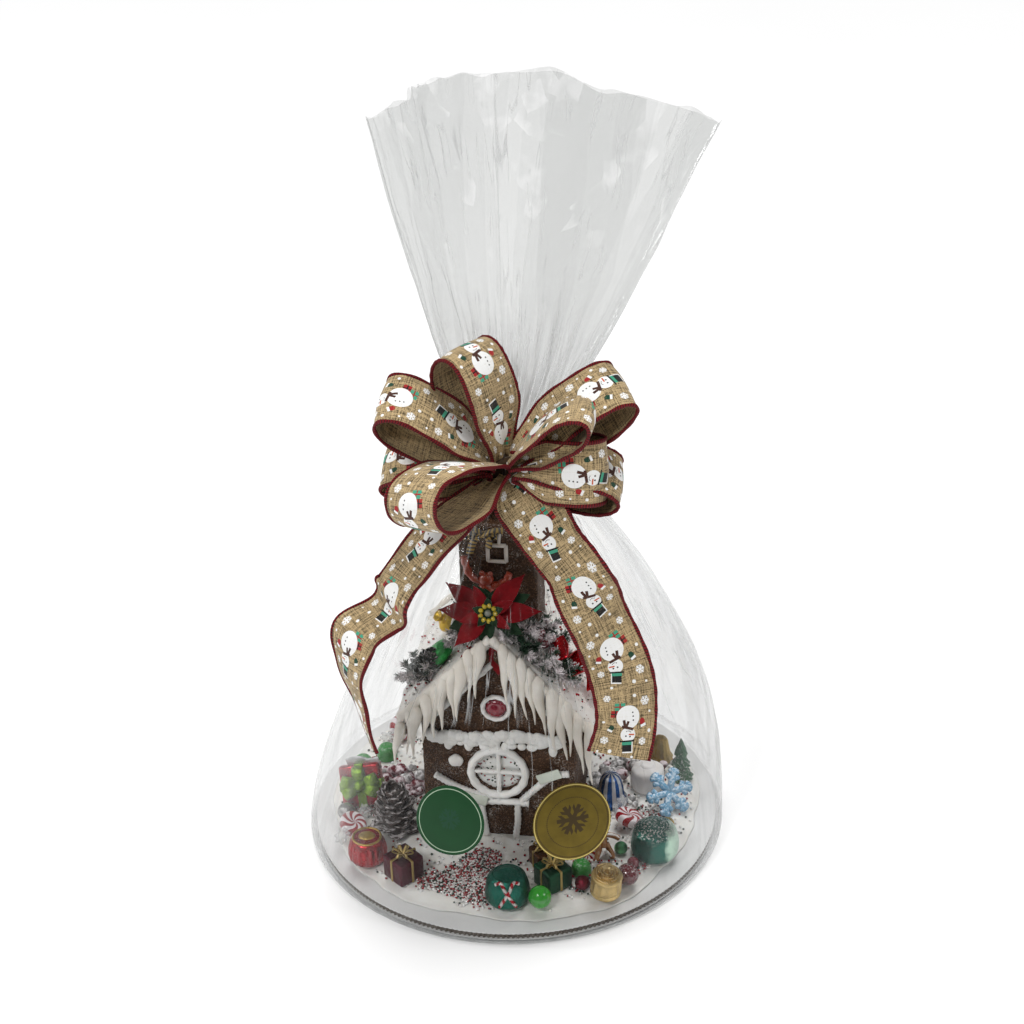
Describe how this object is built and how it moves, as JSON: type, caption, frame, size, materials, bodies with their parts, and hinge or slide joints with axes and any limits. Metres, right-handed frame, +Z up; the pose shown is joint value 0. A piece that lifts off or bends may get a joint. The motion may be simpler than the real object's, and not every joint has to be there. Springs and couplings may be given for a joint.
{
  "type": "wrapped gingerbread house",
  "caption": "Gingerbread house with icing icicles and candies on a round cake board, wrapped in a clear bag gathered at a neck and tied with a printed ribbon bow.",
  "frame": {"origin": "centre of the bag's flat bottom, where it rests on a table", "axes": "+Z up through the neck to the bag's open top, -Y to the front with the door and the bow, +X to the right seen from the front"},
  "size_m": [0.3132, 0.3135, 0.586],
  "materials": {
    "attic_gumdrop": "dark red gumdrop",
    "attic_ring": "dried royal icing",
    "back_wall": "baked gingerbread, dull and grainy",
    "ball_maroon": "dark red foil",
    "bell_blue": "blue foil",
    "bell_gold": "gold foil",
    "bell_teal": "green foil",
    "bow_tie": "dark twist tie",
    "cake_board": "white coated corrugated card",
    "chimney": "baked gingerbread, dull and grainy",
    "chimney_bow": "gold and black ribbon",
    "chimney_figure": "orange-red jelly candy",
    "chimney_frame": "dried royal icing",
    "choc_red": "red foil",
    "clear_bag": "clear film",
    "cookie_figure": "baked biscuit",
    "dome_teal": "green foil",
    "front_piping": "dried royal icing",
    "front_wall": "baked gingerbread, dull and grainy",
    "gift_brown": "bronze foil",
    "gift_flat": "red wrapping in clear film",
    "gift_green": "green foil",
    "gift_maroon": "dark red foil",
    "gumball_green": "green candy",
    "gumball_red": "dark red candy",
    "gumdrop_back": "red gumdrop",
    "gumdrop_front": "green candy",
    "gumdrop_left_1": "green candy",
    "gumdrop_left_2": "green candy",
    "gumdrop_ruby": "dark red gumdrop",
    "icicles_back": "dried royal icing",
    "icicles_front": "dried royal icing",
    "icing_base": "dried royal icing",
    "icing_dab": "dried royal icing",
    "label_gold": "gold foil paper",
    "label_green": "green gloss paper",
    "mint_back_left": "hard mint in clear wrap",
    "mint_left": "hard mint in clear wrap",
    "mint_right": "hard mint in clear wrap",
    "pine_cone": "frosted pine cone",
    "poinsettia_beads": "yellow beads",
    "poinsettia_bracts": "red velvet",
    "poinsettia_leaves": "green velvet",
    "ribbon_bow": "woven burlap ribbon",
    "roof_berries": "frosted red berries",
    "roof_cone": "frosted pine cone",
    "roof_foil_green": "green foil",
    "roof_panel_left": "baked gingerbread, dull and grainy",
    "roof_panel_right": "baked gingerbread, dull and grainy",
    "roof_pine_sprig": "frosted pine sprig",
    "roof_ribbon_candy": "red foil ribbon",
    "roof_snow": "dried royal icing",
    "roof_stick": "green and white candy",
    "rose_gold": "gold foil",
    "side_wall_left": "baked gingerbread, dull and grainy",
    "side_wall_right": "baked gingerbread, dull and grainy",
    "snowball": "powdered marshmallow",
    "snowflake": "pale blue icing",
    "tree_right": "green icing",
    "window_sugar": "sugar and shredded coconut in icing"
  },
  "bodies": {
    "root": {"attic_gumdrop": "attic_gumdrop", "attic_ring": "attic_ring", "back_wall": "back_wall", "ball_maroon": "ball_maroon", "bell_blue": "bell_blue", "bell_gold": "bell_gold", "bell_teal": "bell_teal", "bow_tie": "bow_tie", "cake_board": "cake_board", "chimney": "chimney", "chimney_bow": "chimney_bow", "chimney_figure": "chimney_figure", "chimney_frame": "chimney_frame", "choc_red": "choc_red", "clear_bag": "clear_bag", "cookie_figure": "cookie_figure", "dome_teal": "dome_teal", "front_piping": "front_piping", "front_wall": "front_wall", "gift_brown": "gift_brown", "gift_flat": "gift_flat", "gift_green": "gift_green", "gift_maroon": "gift_maroon", "gumball_green": "gumball_green", "gumball_red": "gumball_red", "gumdrop_back": "gumdrop_back", "gumdrop_front": "gumdrop_front", "gumdrop_left_1": "gumdrop_left_1", "gumdrop_left_2": "gumdrop_left_2", "gumdrop_ruby": "gumdrop_ruby", "icicles_back": "icicles_back", "icicles_front": "icicles_front", "icing_base": "icing_base", "icing_dab": "icing_dab", "label_gold": "label_gold", "label_green": "label_green", "mint_back_left": "mint_back_left", "mint_left": "mint_left", "mint_right": "mint_right", "pine_cone": "pine_cone", "poinsettia_beads": "poinsettia_beads", "poinsettia_bracts": "poinsettia_bracts", "poinsettia_leaves": "poinsettia_leaves", "ribbon_bow": "ribbon_bow", "roof_berries": "roof_berries", "roof_cone": "roof_cone", "roof_foil_green": "roof_foil_green", "roof_panel_left": "roof_panel_left", "roof_panel_right": "roof_panel_right", "roof_pine_sprig": "roof_pine_sprig", "roof_ribbon_candy": "roof_ribbon_candy", "roof_snow": "roof_snow", "roof_stick": "roof_stick", "rose_gold": "rose_gold", "side_wall_left": "side_wall_left", "side_wall_right": "side_wall_right", "snowball": "snowball", "snowflake": "snowflake", "tree_right": "tree_right", "window_sugar": "window_sugar"}
  },
  "joints": []
}
